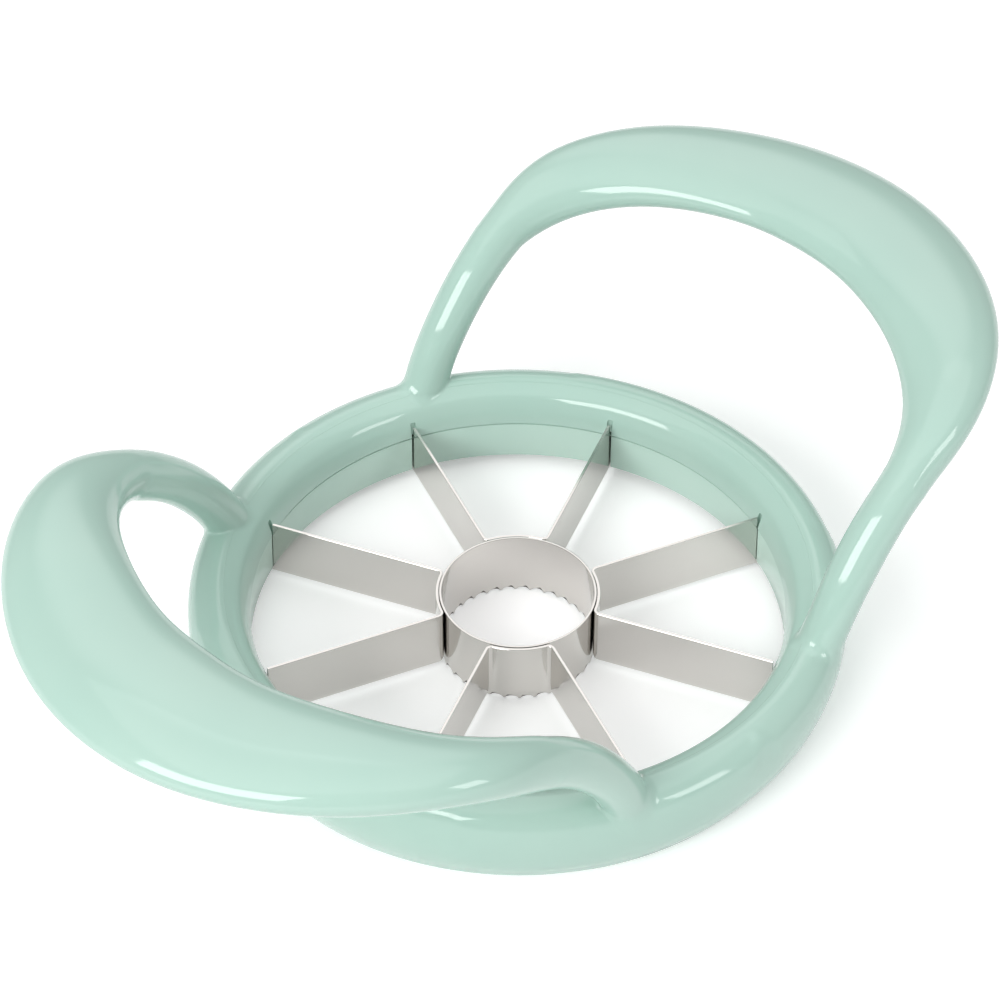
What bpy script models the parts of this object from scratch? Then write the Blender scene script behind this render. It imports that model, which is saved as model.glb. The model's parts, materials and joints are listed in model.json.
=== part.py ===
"""A hand-held apple slicer: a ring with two looped handles, an insert ring that closes the blades in
from below, four folded blade strips and a corer. Metres, +Z up, handles along X, standing on z = 0."""

import bpy
import bmesh
from math import asin, cos, pi, radians, sin, tau
from mathutils import Matrix, Vector

# Clearances
GAP = 0.0003               # between pieces that touch on the real thing
OVERRUN = 0.004            # how far every cut runs past what it cuts
MERGE = 0.00001            # points closer than this are one

# Ring of the frame, as turned about the Z axis, from its inner wall outwards
RING_BORE_RADIUS = 0.0450
RING_INNER_WIDTH = 0.0061  # from the inner wall to the crest
RING_OUTER_WIDTH = 0.0043  # from the crest to the outer wall's widest place
RING_TUCK = 0.0034         # how far in the foot's outer edge lies from that place
FOOT_LAND = 0.0018         # width of the flat foot
RING_TOP = 0.0164          # height of the crest
RING_OUTER_SPRING = 0.0108  # height of the outer wall's widest place
RING_INNER_SPRING = 0.0099  # height where the inner wall starts to curve over

# The ring's section. The curves over its crest are shares of a quarter turn, and the tuck of the
# outer wall is shares of the way out from the foot and of the way up to the widest place.
INNER_CURVE_SHARES = (0.0, 0.34, 0.69, 1.0)
OUTER_CURVE_SHARES = (0.49, 1.0)
TUCK_SHARES = (0.72, 0.45)
SHARP_SIDES = (0, 8)       # the section's two sharp lower corners

# Insert ring, pressed up into the frame's rebate
SEAM_HEIGHT = 0.0093       # the ledge in the frame that the insert comes up to
INSERT_BOTTOM = 0.0017     # the insert stays this far above the foot
INSERT_STEP = 0.0005       # its upper edge stands back this far from the frame's inner wall
INSERT_DRAFT = 0.0005      # its bore opens by this much towards its lower edge
INSERT_WALL = 0.0012
INSERT_WEB = 0.0016        # thickness of its upper side
PEG_RADIUS = 0.0009
PEG_HEIGHT = 0.0024
PEG_COUNT = 8
PEG_STEPS = 16

# Blades
STRIP_COUNT = 4
STRIP_THICKNESS = 0.0005
BLADE_BOTTOM = 0.0014
BLADE_TOP = 0.01225
BEND_RADIUS = 0.0009       # of the folds, at mid thickness
BLADE_SEAT = 0.0003        # how far a blade's end reaches into the insert's outer wall
FOLD_STEPS = 4
WRAP_STEPS = 8             # along the curved part between two folds

# Corer
CORE_RADIUS = 0.01325
CORE_WALL = 0.0004
CORE_BOTTOM = 0.0002
CORE_RISE = 0.0001         # its rim stands this far above the blades
NOTCH_DEPTH = 0.0008
NOTCH_COUNT = 32
NOTCH_STEPS = 4            # points around the rim for each scallop

# Handles
GRIP_STANDOFF = 0.0292     # from the ring's crest out to the middle of a grip
GRIP_RISE = 0.0314         # from the ring's crest up to the middle of a grip
LOOP_FLARE = 0.0015        # how much wider a loop is than its feet, to each side
GRIP_HALF_WIDTH = 0.0125
GRIP_HALF_THICKNESS = 0.0053
LOOP_SLOPE = radians(31.5)  # lean of the plane that a loop's sections are measured from

# Stations along half a handle, from the middle of the grip down to the foot. Each row holds
# shares of the reach from the Z axis, of the loop's half width, of the rise above the crest and of
# the grip's half width and half thickness, then a turn in degrees.
STATION_SHARES = [
    (1.000, 0.000, 1.000, 1.00, 0.92, -33),
    (0.970, 0.330, 0.989, 0.93, 0.96, -32),
    (0.878, 0.643, 0.982, 0.80, 1.00, -26),
    (0.737, 0.886, 0.924, 0.59, 0.93, -5),
    (0.603, 0.980, 0.785, 0.40, 0.84, 23),
    (0.495, 0.998, 0.618, 0.33, 0.76, 40),
    (0.383, 0.997, 0.330, 0.32, 0.78, 26),
    (0.356, 1.004, 0.181, 0.31, 0.78, 16),
    (0.338, 1.008, 0.068, 0.32, 0.80, 12),
]
PATH_END_SHARES = (0.301, 1.020, -0.148)  # where a handle's path ends, inside the ring

# A handle's foot, as a patch of the ring's surface
FOOT_TURN = radians(60.6)  # from +X round to the patch's middle
FOOT_HALF_TURN = radians(4.9)
FOOT_SIDES = (3, 4, 5, 6)  # the lines of the ring's section that the patch spans

# Steps of the turned shapes
SPANS_TO_FOOT = 6          # from the X axis to the near edge of a foot
SPANS_PAST_FOOT = 3        # from its far edge to the Y axis
TUBE_SIDES = 10            # as many as the patch has corners
SETTLE_ROUNDS = 24
CUT_STEPS = 96


def material(name, colour, roughness, metallic=0.0):
    """A plain material with the piece's colour, roughness and metallic value."""
    made = bpy.data.materials.new(name)
    made.use_nodes = True
    shader = made.node_tree.nodes["Principled BSDF"]
    shader.inputs["Base Color"].default_value = (*colour, 1.0)
    shader.inputs["Roughness"].default_value = roughness
    shader.inputs["Metallic"].default_value = metallic
    return made


def add_object(name, mesh, surface=None, crease_angle=radians(35)):
    """Links a mesh into the scene as an object, shaded smooth except at its sharp edges."""
    made = bpy.data.objects.new(name, mesh)
    bpy.context.scene.collection.objects.link(made)
    if surface:
        mesh.materials.append(surface)
        mesh.shade_smooth()
        mesh.set_sharp_from_angle(angle=crease_angle)
    return made


def add_cutter(name, mesh):
    """A shape that only cuts: it isn't a piece of the object."""
    cutter = add_object(name, mesh)
    cutter.hide_render = True
    cutter.display_type = "WIRE"
    return cutter


def cut(target, cutter):
    modifier = target.modifiers.new("Cut " + cutter.name, "BOOLEAN")
    modifier.operation = "DIFFERENCE"
    modifier.solver = "EXACT"
    modifier.object = cutter


def mesh_of(bm, name):
    """Turns a finished bmesh into a mesh whose faces point outwards."""
    bmesh.ops.recalc_face_normals(bm, faces=bm.faces)
    mesh = bpy.data.meshes.new(name)
    bm.to_mesh(mesh)
    bm.free()
    return mesh


def polar(radius, angle, height=0.0):
    return Vector((radius * cos(angle), radius * sin(angle), height))


def turned(bm, profile, steps):
    """Turns a closed profile of (radius, height) points about Z and returns its rings of points."""
    rings = []
    for step in range(steps):
        angle = tau * step / steps
        rings.append([bm.verts.new(polar(radius, angle, height)) for radius, height in profile])
    for step, ring in enumerate(rings):
        following = rings[(step + 1) % steps]
        for side in range(len(profile)):
            after = (side + 1) % len(profile)
            bm.faces.new((ring[side], ring[after], following[after], following[side]))
    return rings


def crest_radius():
    return RING_BORE_RADIUS + RING_INNER_WIDTH


def foot_radius():
    """The outer edge of the flat foot."""
    return crest_radius() + RING_OUTER_WIDTH - RING_TUCK


def ring_profile():
    """The frame's ring in section: up the inner wall, over the crest and down to the foot."""
    inner_height = RING_TOP - RING_INNER_SPRING
    outer_height = RING_TOP - RING_OUTER_SPRING
    profile = [(RING_BORE_RADIUS, 0.0)]
    for share in INNER_CURVE_SHARES:
        turn = share * pi / 2
        radius = crest_radius() - RING_INNER_WIDTH * cos(turn)
        profile.append((radius, RING_INNER_SPRING + inner_height * sin(turn)))
    for share in OUTER_CURVE_SHARES:
        turn = share * pi / 2
        radius = crest_radius() + RING_OUTER_WIDTH * sin(turn)
        profile.append((radius, RING_OUTER_SPRING + outer_height * cos(turn)))
    out_share, up_share = TUCK_SHARES
    profile.append((foot_radius() + RING_TUCK * out_share, RING_OUTER_SPRING * up_share))
    profile.append((foot_radius(), 0.0))
    return profile


def quarter_turns():
    """Angles of the cage's lines across a quarter of the ring, closer together under the foot."""
    near = FOOT_TURN - FOOT_HALF_TURN
    far = FOOT_TURN + FOOT_HALF_TURN
    turns = [near * span / SPANS_TO_FOOT for span in range(SPANS_TO_FOOT)]
    turns += [near, FOOT_TURN]
    turns += [far + (pi / 2 - far) * span / SPANS_PAST_FOOT for span in range(SPANS_PAST_FOOT + 1)]
    return turns


def handle_place(reach_share, width_share, rise_share):
    reach = crest_radius() + GRIP_STANDOFF
    half_width = crest_radius() * sin(FOOT_TURN) + LOOP_FLARE
    return Vector((reach * reach_share, half_width * width_share, RING_TOP + GRIP_RISE * rise_share))


def station_frames():
    """Middle, half width and half thickness of each section of half a handle, as vectors."""
    places = [handle_place(*row[:3]) for row in STATION_SHARES]
    mirrored = Vector((places[1].x, -places[1].y, places[1].z))
    path = [mirrored] + places + [handle_place(*PATH_END_SHARES)]
    lean = Vector((-sin(LOOP_SLOPE), 0.0, cos(LOOP_SLOPE)))
    frames = []
    for index, row in enumerate(STATION_SHARES):
        along = (path[index + 2] - path[index]).normalized()
        up = (lean - along * along.dot(lean)).normalized()
        out = along.cross(up)
        width, thickness, degrees = row[3:]
        turn = radians(degrees)
        wide = (out * cos(turn) + up * sin(turn)) * GRIP_HALF_WIDTH * width
        thick = (up * cos(turn) - out * sin(turn)) * GRIP_HALF_THICKNESS * thickness
        frames.append((places[index], wide, thick))
    return frames


def limit_place(vertex, crease):
    """Where a corner of the cage ends up on the smoothed surface."""
    creased = [edge for edge in vertex.link_edges if edge[crease] > 0.5]
    if len(creased) == 2:
        ends = sum((edge.other_vert(vertex).co for edge in creased), Vector())
        return (ends + vertex.co * 4) / 6
    count = len(vertex.link_edges)
    near = sum((edge.other_vert(vertex).co for edge in vertex.link_edges), Vector())
    far = sum((loop.link_loop_next.link_loop_next.vert.co for loop in vertex.link_loops), Vector())
    return (vertex.co * count * count + near * 4 + far) / (count * (count + 5))


def settle(bm, crease):
    """Swells the cage until the smoothed surface passes through the points that it was drawn with."""
    wanted = [vertex.co.copy() for vertex in bm.verts]
    for _ in range(SETTLE_ROUNDS):
        reached = [limit_place(vertex, crease) for vertex in bm.verts]
        for vertex, aim, place in zip(bm.verts, wanted, reached):
            vertex.co += aim - place


def quarter_of_frame(bm, crease):
    """A quarter of the ring with half of one handle, open at the two mirror planes."""
    profile = ring_profile()
    rings = []
    for angle in quarter_turns():
        rings.append([bm.verts.new(polar(radius, angle, height)) for radius, height in profile])
    for step, (ring, following) in enumerate(zip(rings, rings[1:])):
        for side in range(len(profile)):
            after = (side + 1) % len(profile)
            under_foot = side in FOOT_SIDES[:-1] and step in (SPANS_TO_FOOT, SPANS_TO_FOOT + 1)
            if not under_foot:
                bm.faces.new((ring[side], ring[after], following[after], following[side]))
        for side in SHARP_SIDES:
            edge = bm.edges.get((ring[side], following[side]))
            edge[crease] = 1.0
    before, at, past = rings[SPANS_TO_FOOT:SPANS_TO_FOOT + 3]
    socket = [at[FOOT_SIDES[-1]]]
    socket += [past[side] for side in reversed(FOOT_SIDES)]
    socket.append(at[FOOT_SIDES[0]])
    socket += [before[side] for side in FOOT_SIDES]
    for side in FOOT_SIDES[1:-1]:
        bm.verts.remove(at[side])
    loops = [socket]
    for centre, wide, thick in reversed(station_frames()):
        corners = []
        for side in range(TUBE_SIDES):
            angle = tau * side / TUBE_SIDES
            corners.append(centre + wide * cos(angle) + thick * sin(angle))
        previous = [vertex.co for vertex in loops[-1]]
        corners = best_turn(corners, previous)
        loops.append([bm.verts.new(corner) for corner in corners])
    for first, second in zip(loops, loops[1:]):
        for side in range(TUBE_SIDES):
            after = (side + 1) % TUBE_SIDES
            bm.faces.new((first[side], first[after], second[after], second[side]))


def best_turn(corners, previous):
    """Renumbers a loop of points, either way round, so that it lies nearest the loop before it."""
    count = len(corners)
    orders = []
    for way in (corners, corners[::-1]):
        for shift in range(count):
            orders.append(way[shift:] + way[:shift])
    return min(orders, key=lambda order: sum((a - b).length for a, b in zip(order, previous)))


def blade_angles():
    """Angles of the eight blades, in pairs that share a strip."""
    half_pair = tau / STRIP_COUNT / 4
    pairs = []
    for strip in range(STRIP_COUNT):
        middle = tau * (strip + 0.5) / STRIP_COUNT
        pairs.append((middle - half_pair, middle + half_pair))
    return pairs


def rebate_radius():
    return foot_radius() - FOOT_LAND


def insert_radius():
    return rebate_radius() - GAP


def insert_top_bore():
    return RING_BORE_RADIUS + INSERT_STEP


def insert_bore():
    """The radius of the insert's bore at its lower edge."""
    return insert_top_bore() + INSERT_DRAFT


def blade_end_radius():
    return insert_radius() - INSERT_WALL + BLADE_SEAT - GAP


def peg_circle():
    return (insert_top_bore() + insert_radius()) / 2


def peg_places():
    return [polar(peg_circle(), tau * peg / PEG_COUNT) for peg in range(PEG_COUNT)]


def add_slots(bm, bottom, top):
    """Boxes that cut a slot for each blade's end, with a gap all round the steel."""
    near = insert_bore() - OVERRUN
    far = blade_end_radius() + GAP
    width = STRIP_THICKNESS + 2 * GAP
    for pair in blade_angles():
        for angle in pair:
            place = Matrix.Rotation(angle, 4, "Z") @ Matrix.Translation(((near + far) / 2, 0.0, (bottom + top) / 2))
            size = Matrix.Diagonal((far - near, width, top - bottom, 1.0))
            bmesh.ops.create_cube(bm, size=1.0, matrix=place @ size)


def add_pins(bm, radius, bottom, top):
    """Upright pins on the peg circle."""
    for place in peg_places():
        middle = Matrix.Translation((place.x, place.y, (bottom + top) / 2))
        bmesh.ops.create_cone(bm, cap_ends=True, segments=PEG_STEPS, radius1=radius, radius2=radius,
                              depth=top - bottom, matrix=middle)


def build_frame(surface):
    """The ring and both handles: one moulding, smoothed from a cage, then cut for the insert."""
    bm = bmesh.new()
    crease = bm.edges.layers.float.new("crease_edge")
    quarter_of_frame(bm, crease)
    for axis in ("X", "Y"):
        everything = bm.verts[:] + bm.edges[:] + bm.faces[:]
        bmesh.ops.mirror(bm, geom=everything, matrix=Matrix.Identity(4), merge_dist=MERGE, axis=axis)
    settle(bm, crease)
    frame = add_object("frame", mesh_of(bm, "frame"), surface, crease_angle=radians(75))
    smooth = frame.modifiers.new("Smooth", "SUBSURF")
    smooth.levels = 1
    smooth.render_levels = 1
    smooth.use_limit_surface = True

    cutter = bmesh.new()
    near = RING_BORE_RADIUS - OVERRUN
    profile = [(near, -OVERRUN), (rebate_radius(), -OVERRUN),
               (rebate_radius(), SEAM_HEIGHT), (near, SEAM_HEIGHT)]
    turned(cutter, profile, CUT_STEPS)
    cut(frame, add_cutter("frame_rebate", mesh_of(cutter, "frame_rebate")))

    cutter = bmesh.new()
    add_slots(cutter, SEAM_HEIGHT - OVERRUN, BLADE_TOP + GAP)
    add_pins(cutter, PEG_RADIUS + GAP, SEAM_HEIGHT - OVERRUN, SEAM_HEIGHT - GAP + PEG_HEIGHT + GAP * 2)
    cut(frame, add_cutter("frame_sockets", mesh_of(cutter, "frame_sockets")))
    return frame


def build_insert(surface):
    """The insert ring: hollow from below, with slots for the blades and pegs on top."""
    outer = insert_radius()
    top = SEAM_HEIGHT - GAP
    web = top - INSERT_WEB
    draft = INSERT_DRAFT * INSERT_WEB / (top - INSERT_BOTTOM)
    profile = [(insert_bore(), INSERT_BOTTOM), (insert_bore() + INSERT_WALL, INSERT_BOTTOM),
               (insert_top_bore() + draft + INSERT_WALL, web), (outer - INSERT_WALL, web),
               (outer - INSERT_WALL, INSERT_BOTTOM), (outer, INSERT_BOTTOM),
               (outer, top), (insert_top_bore(), top)]
    bm = bmesh.new()
    turned(bm, profile, CUT_STEPS)
    ring = add_object("retaining_ring", mesh_of(bm, "retaining_ring"), surface)

    pegs = bmesh.new()
    add_pins(pegs, PEG_RADIUS, web + INSERT_WEB / 2, top + PEG_HEIGHT)
    joined = ring.modifiers.new("Join pegs", "BOOLEAN")
    joined.operation = "UNION"
    joined.solver = "EXACT"
    joined.object = add_cutter("insert_pegs", mesh_of(pegs, "insert_pegs"))

    slots = bmesh.new()
    add_slots(slots, INSERT_BOTTOM - OVERRUN, top + OVERRUN)
    cut(ring, add_cutter("insert_slots", mesh_of(slots, "insert_slots")))
    return ring


def strip_path(first, second):
    """Middle line of a folded strip: in along one blade, round the corer, out along the next."""
    around = CORE_RADIUS + GAP + STRIP_THICKNESS / 2
    fold_centre = around + BEND_RADIUS
    swing = asin(BEND_RADIUS / fold_centre)
    start = first + swing
    end = second - swing
    turn = swing - pi / 2
    path = [polar(blade_end_radius(), first)]
    centre = polar(fold_centre, start)
    for step in range(FOLD_STEPS + 1):
        path.append(centre + polar(BEND_RADIUS, first - pi / 2 + turn * step / FOLD_STEPS))
    for step in range(1, WRAP_STEPS):
        path.append(polar(around, start + (end - start) * step / WRAP_STEPS))
    centre = polar(fold_centre, end)
    for step in range(FOLD_STEPS + 1):
        path.append(centre + polar(BEND_RADIUS, end + pi + turn * step / FOLD_STEPS))
    path.append(polar(blade_end_radius(), second))
    return path


def build_strip(name, pair, surface):
    """One folded strip: two blades and the curved part between them."""
    path = strip_path(*pair)
    headings = [(after - point).normalized() for point, after in zip(path, path[1:])]
    left = []
    right = []
    for point, arriving, leaving in zip(path, headings[:1] + headings, headings + headings[-1:]):
        along = (arriving + leaving).normalized()
        side = Vector((-along.y, along.x, 0.0)) * (STRIP_THICKNESS / 2 / along.dot(leaving))
        left.append(point + side)
        right.append(point - side)
    bm = bmesh.new()
    floor = Vector((0.0, 0.0, BLADE_BOTTOM))
    rows = [[bm.verts.new(a + floor) for a in left], [bm.verts.new(b + floor) for b in right]]
    under = []
    for index in range(len(path) - 1):
        under.append(bm.faces.new((rows[0][index], rows[0][index + 1], rows[1][index + 1], rows[1][index])))
    raised = bmesh.ops.extrude_face_region(bm, geom=under)
    risen = [item for item in raised["geom"] if isinstance(item, bmesh.types.BMVert)]
    bmesh.ops.translate(bm, verts=risen, vec=(0.0, 0.0, BLADE_TOP - BLADE_BOTTOM))
    return add_object(name, mesh_of(bm, name), surface)


def build_core(surface):
    """The corer: a thin tube whose lower edge is scalloped."""
    steps = NOTCH_COUNT * NOTCH_STEPS
    inner = CORE_RADIUS - CORE_WALL
    top = BLADE_TOP + CORE_RISE
    bm = bmesh.new()
    rings = []
    for step in range(steps):
        angle = tau * step / steps
        bottom = CORE_BOTTOM + (NOTCH_DEPTH if step % NOTCH_STEPS == 0 else 0.0)
        corners = ((CORE_RADIUS, bottom), (CORE_RADIUS, top), (inner, top), (inner, bottom))
        rings.append([bm.verts.new(polar(radius, angle, height)) for radius, height in corners])
    for step, ring in enumerate(rings):
        following = rings[(step + 1) % steps]
        for side in range(4):
            after = (side + 1) % 4
            bm.faces.new((ring[side], ring[after], following[after], following[side]))
    return add_object("core_ring", mesh_of(bm, "core_ring"), surface)


def clear_scene():
    for item in list(bpy.data.objects):
        bpy.data.objects.remove(item, do_unlink=True)


def build():
    clear_scene()
    mint = (0.42, 0.69, 0.57)
    steel = (0.56, 0.55, 0.53)
    slicer = bpy.data.objects.new("apple_slicer", None)
    bpy.context.scene.collection.objects.link(slicer)
    pieces = [build_frame(material("frame_abs", mint, 0.2)),
              build_insert(material("insert_abs", mint, 0.25)),
              build_core(material("core_steel", steel, 0.3, 1.0))]
    names = ("blade_strip_back", "blade_strip_left", "blade_strip_front", "blade_strip_right")
    for name, pair in zip(names, blade_angles()):
        pieces.append(build_strip(name, pair, material(name + "_steel", steel, 0.3, 1.0)))
    for piece in pieces:
        piece.parent = slicer


build()
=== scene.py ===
"""The looks of a hand-held apple slicer: a glossy mint ring with looped handles, steel blades, a corer.
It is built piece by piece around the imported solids, in metres, with +Z up and the handles along X."""

import json

import bmesh
import bpy
import numpy as np
from math import asin, cos, exp, pi, radians, sin, tau
from mathutils import Matrix, Vector

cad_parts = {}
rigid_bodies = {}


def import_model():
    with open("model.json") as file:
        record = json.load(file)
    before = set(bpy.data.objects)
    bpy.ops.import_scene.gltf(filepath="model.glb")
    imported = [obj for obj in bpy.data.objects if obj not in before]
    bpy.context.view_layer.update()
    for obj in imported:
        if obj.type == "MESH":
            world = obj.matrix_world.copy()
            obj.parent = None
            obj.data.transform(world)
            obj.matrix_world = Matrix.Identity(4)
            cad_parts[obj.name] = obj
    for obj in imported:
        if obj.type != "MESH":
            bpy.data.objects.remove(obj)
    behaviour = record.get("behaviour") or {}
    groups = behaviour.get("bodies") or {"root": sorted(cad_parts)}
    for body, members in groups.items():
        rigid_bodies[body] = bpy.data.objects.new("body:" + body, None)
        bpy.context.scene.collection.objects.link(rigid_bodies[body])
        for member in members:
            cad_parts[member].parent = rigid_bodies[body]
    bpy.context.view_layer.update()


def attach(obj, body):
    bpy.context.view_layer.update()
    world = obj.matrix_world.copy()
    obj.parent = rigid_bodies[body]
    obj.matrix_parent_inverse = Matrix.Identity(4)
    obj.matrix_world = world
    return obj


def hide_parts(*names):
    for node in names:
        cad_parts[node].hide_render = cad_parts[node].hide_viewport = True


# What Blender starts with is taken out first
for leftover in list(bpy.data.objects):
    bpy.data.objects.remove(leftover, do_unlink=True)
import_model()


# Camera
# A long lens looks down on the slicer from behind one handle, a little to the side of it. Its place
# and direction come from fitting the slicer's outlines.
CAMERA_PLACE = (-0.297126, -0.278260, 0.412703)
CAMERA_HEADING = radians(43.554)   # from +X, anticlockwise
CAMERA_DIP = radians(42.990)       # below the horizon
CAMERA_TILT = radians(0.222)
CAMERA_LENS_MM = 122.29
CAMERA_SENSOR_MM = 36.0
CAMERA_NEAREST = 0.01

camera = bpy.data.objects.new("camera", bpy.data.cameras.new("camera"))
bpy.context.scene.collection.objects.link(camera)
camera.data.lens = CAMERA_LENS_MM
camera.data.sensor_width = CAMERA_SENSOR_MM
camera.data.clip_start = CAMERA_NEAREST
facing = Matrix.Rotation(CAMERA_HEADING - pi / 2, 4, "Z") @ Matrix.Rotation(pi / 2 - CAMERA_DIP, 4, "X")
camera.matrix_world = Matrix.Translation(CAMERA_PLACE) @ facing @ Matrix.Rotation(CAMERA_TILT, 4, "Z")
bpy.context.scene.camera = camera


# Frame: the ring and both looped handles
# One injection moulding in glossy ABS. Each handle leaves the ring at two feet, swells into a broad
# grip and lies back over the ring's edge. The blades bear up against the notches in its ledge.
RING_BORE_RADIUS = 0.0450
RING_CREST_RADIUS = 0.0511
RING_OUTER_WIDTH = 0.0043
RING_TUCK = 0.0034
RING_TOP = 0.0164
RING_OUTER_SPRING = 0.0108
FOOT_LAND = 0.0018
LEDGE_HEIGHT = 0.0100
GRIP_STANDOFF = 0.0292
GRIP_RISE = 0.0314
LOOP_HALF_WIDTH = 0.0460
GRIP_HALF_WIDTH = 0.0125
GRIP_HALF_THICKNESS = 0.0053
LOOP_SLOPE = radians(31.5)
FOOT_TURN = radians(62.2)
FOOT_HALF_TURN = radians(5.3)
FOOT_RADIUS = RING_CREST_RADIUS + RING_OUTER_WIDTH - RING_TUCK
REBATE_RADIUS = FOOT_RADIUS - FOOT_LAND
# The ring's section, as shares of its widths and heights
INNER_CURVE_SHARES = ((1.0, 0.0), (0.926, 0.31), (0.795, 0.60), (0.623, 0.797), (0.295, 0.969), (0.0, 1.0))
OUTER_CURVE_SHARES = (0.49, 1.0)
TUCK_SHARES = (0.72, 0.45)
# Half a handle in sections, from the grip down into the ring: shares of reach, half width and rise,
# shares of the grip's half width and half thickness, and a turn in degrees
HANDLE_SHARES = [
    (1.0029, 0.000, 0.992, 0.981, 0.874, -33),
    (0.967, 0.355, 0.990, 0.920, 0.832, -30),
    (0.849, 0.709, 0.974, 0.752, 0.878, -20),
    (0.691, 0.932, 0.885, 0.531, 0.828, 2),
    (0.572, 0.991, 0.747, 0.358, 0.808, 40),
    (0.521, 0.998, 0.664, 0.338, 0.747, 64),
    (0.426, 0.999, 0.455, 0.316, 0.743, 46),
    (0.321, 0.996, 0.083, 0.313, 0.750, 25),
    (0.281, 0.975, -0.204, 0.325, 0.883, 16),
]
LAST_ROW = len(HANDLE_SHARES) - 1
SETTLE_ROUNDS = 24
MERGE = 0.00001
TINY = 1e-9   # keeps lengths of nothing out of divisions


def start_object(name, add_primitive, **settings):
    """Adds a primitive with nothing else selected, and names it."""
    bpy.ops.object.select_all(action="DESELECT")
    add_primitive(**settings)
    made = bpy.context.object
    made.name = made.data.name = name
    return made


def start_outline(name, outline):
    """A closed line of edges that follows an outline of radii and heights, ready to be spun."""
    made = start_object(name, bpy.ops.mesh.primitive_circle_add, vertices=len(outline))
    for point, (radius, height) in zip(made.data.vertices, outline):
        point.co = (radius, 0.0, height)
    bpy.ops.object.mode_set(mode="EDIT")
    bpy.ops.mesh.select_all(action="SELECT")
    return made


def select_where(piece, kind, wanted):
    """Selects the edit mesh's faces, edges or points that pass a test."""
    bpy.ops.mesh.select_all(action="DESELECT")
    bm = bmesh.from_edit_mesh(piece.data)
    chosen = [item for item in getattr(bm, kind) if wanted(item)]
    for item in chosen:
        item.select_set(True)
    bm.select_flush(True)
    bmesh.update_edit_mesh(piece.data)


def select_alone(piece):
    """Makes a finished piece the only one selected, and the active one."""
    bpy.ops.object.select_all(action="DESELECT")
    piece.select_set(True)
    bpy.context.view_layer.objects.active = piece


def finish_modifier(piece, kind, **settings):
    """Adds a modifier with its settings and applies it."""
    modifier = piece.modifiers.new(kind, kind)
    for name, value in settings.items():
        setattr(modifier, name, value)
    select_alone(piece)
    bpy.ops.object.modifier_apply(modifier=modifier.name)


def break_edges(piece, width, angle):
    """Rounds every edge of a piece that is sharper than an angle."""
    finish_modifier(piece, "BEVEL", width=width, segments=2, limit_method="ANGLE", angle_limit=angle)


def smooth_by_angle(piece, angle):
    """Shades a piece smooth, but for the edges that are sharper than an angle."""
    select_alone(piece)
    bpy.ops.object.shade_smooth_by_angle(angle=angle)


def ring_section():
    """The ring in section: up the inner wall, over the crest, down to the foot and into the rebate."""
    inner_width = RING_CREST_RADIUS - RING_BORE_RADIUS
    points = []
    for width_share, height_share in INNER_CURVE_SHARES:
        height = LEDGE_HEIGHT + (RING_TOP - LEDGE_HEIGHT) * height_share
        points.append((RING_CREST_RADIUS - inner_width * width_share, height))
    for share in OUTER_CURVE_SHARES:
        turn = share * pi / 2
        height = RING_OUTER_SPRING + (RING_TOP - RING_OUTER_SPRING) * cos(turn)
        points.append((RING_CREST_RADIUS + RING_OUTER_WIDTH * sin(turn), height))
    points.append((FOOT_RADIUS + RING_TUCK * TUCK_SHARES[0], RING_OUTER_SPRING * TUCK_SHARES[1]))
    points += [(FOOT_RADIUS, 0.0), (REBATE_RADIUS, 0.0), (REBATE_RADIUS, LEDGE_HEIGHT)]
    return points


def handle_place(reach_share, width_share, rise_share):
    """A place on the line that runs along the middle of a handle."""
    reach = RING_CREST_RADIUS + GRIP_STANDOFF
    rise = RING_TOP + GRIP_RISE * rise_share
    return Vector((reach * reach_share, LOOP_HALF_WIDTH * width_share, rise))


def handle_sections():
    """Middle, half width and half thickness of each section of half a handle, as vectors."""
    places = [handle_place(*row[:3]) for row in HANDLE_SHARES]
    path = [Vector((places[1].x, -places[1].y, places[1].z))] + places + [2 * places[-1] - places[-2]]
    lean = Vector((-sin(LOOP_SLOPE), 0.0, cos(LOOP_SLOPE)))
    sections = []
    for index, row in enumerate(HANDLE_SHARES):
        along = (path[index + 2] - path[index]).normalized()
        up = (lean - along * along.dot(lean)).normalized()
        out = along.cross(up)
        turn = radians(row[5])
        wide = (out * cos(turn) + up * sin(turn)) * GRIP_HALF_WIDTH * row[3]
        thick = (up * cos(turn) - out * sin(turn)) * GRIP_HALF_THICKNESS * row[4]
        sections.append((places[index], wide, thick))
    return sections


class SmoothRows:
    """A smooth curve (a cubic B-spline) that goes through rows of numbers, one step for each row."""

    def __init__(self, rows):
        wanted = np.array(rows, float)
        pulled = wanted.copy()
        for _ in range(SETTLE_ROUNDS):
            ends = self.with_ends(pulled)
            pulled += wanted - (ends[:-2] + 4 * ends[1:-1] + ends[2:]) / 6
        self.pulls = self.with_ends(pulled)

    @staticmethod
    def with_ends(rows):
        """The rows with one more, straight on, at either end."""
        return np.vstack((2 * rows[0] - rows[1], rows, 2 * rows[-1] - rows[-2]))

    def at(self, steps):
        """The curve's rows at any steps along it."""
        steps = np.clip(np.asarray(steps, float), 0.0, len(self.pulls) - 3 - TINY)
        span = steps.astype(int)
        t = (steps - span)[..., None]
        rising = -3 * t ** 3 + 3 * t ** 2 + 3 * t + 1
        shares = ((1 - t) ** 3, 3 * t ** 3 - 6 * t ** 2 + 4, rising, t ** 3)
        return sum(share * self.pulls[span + ahead] for ahead, share in enumerate(shares)) / 6


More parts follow.
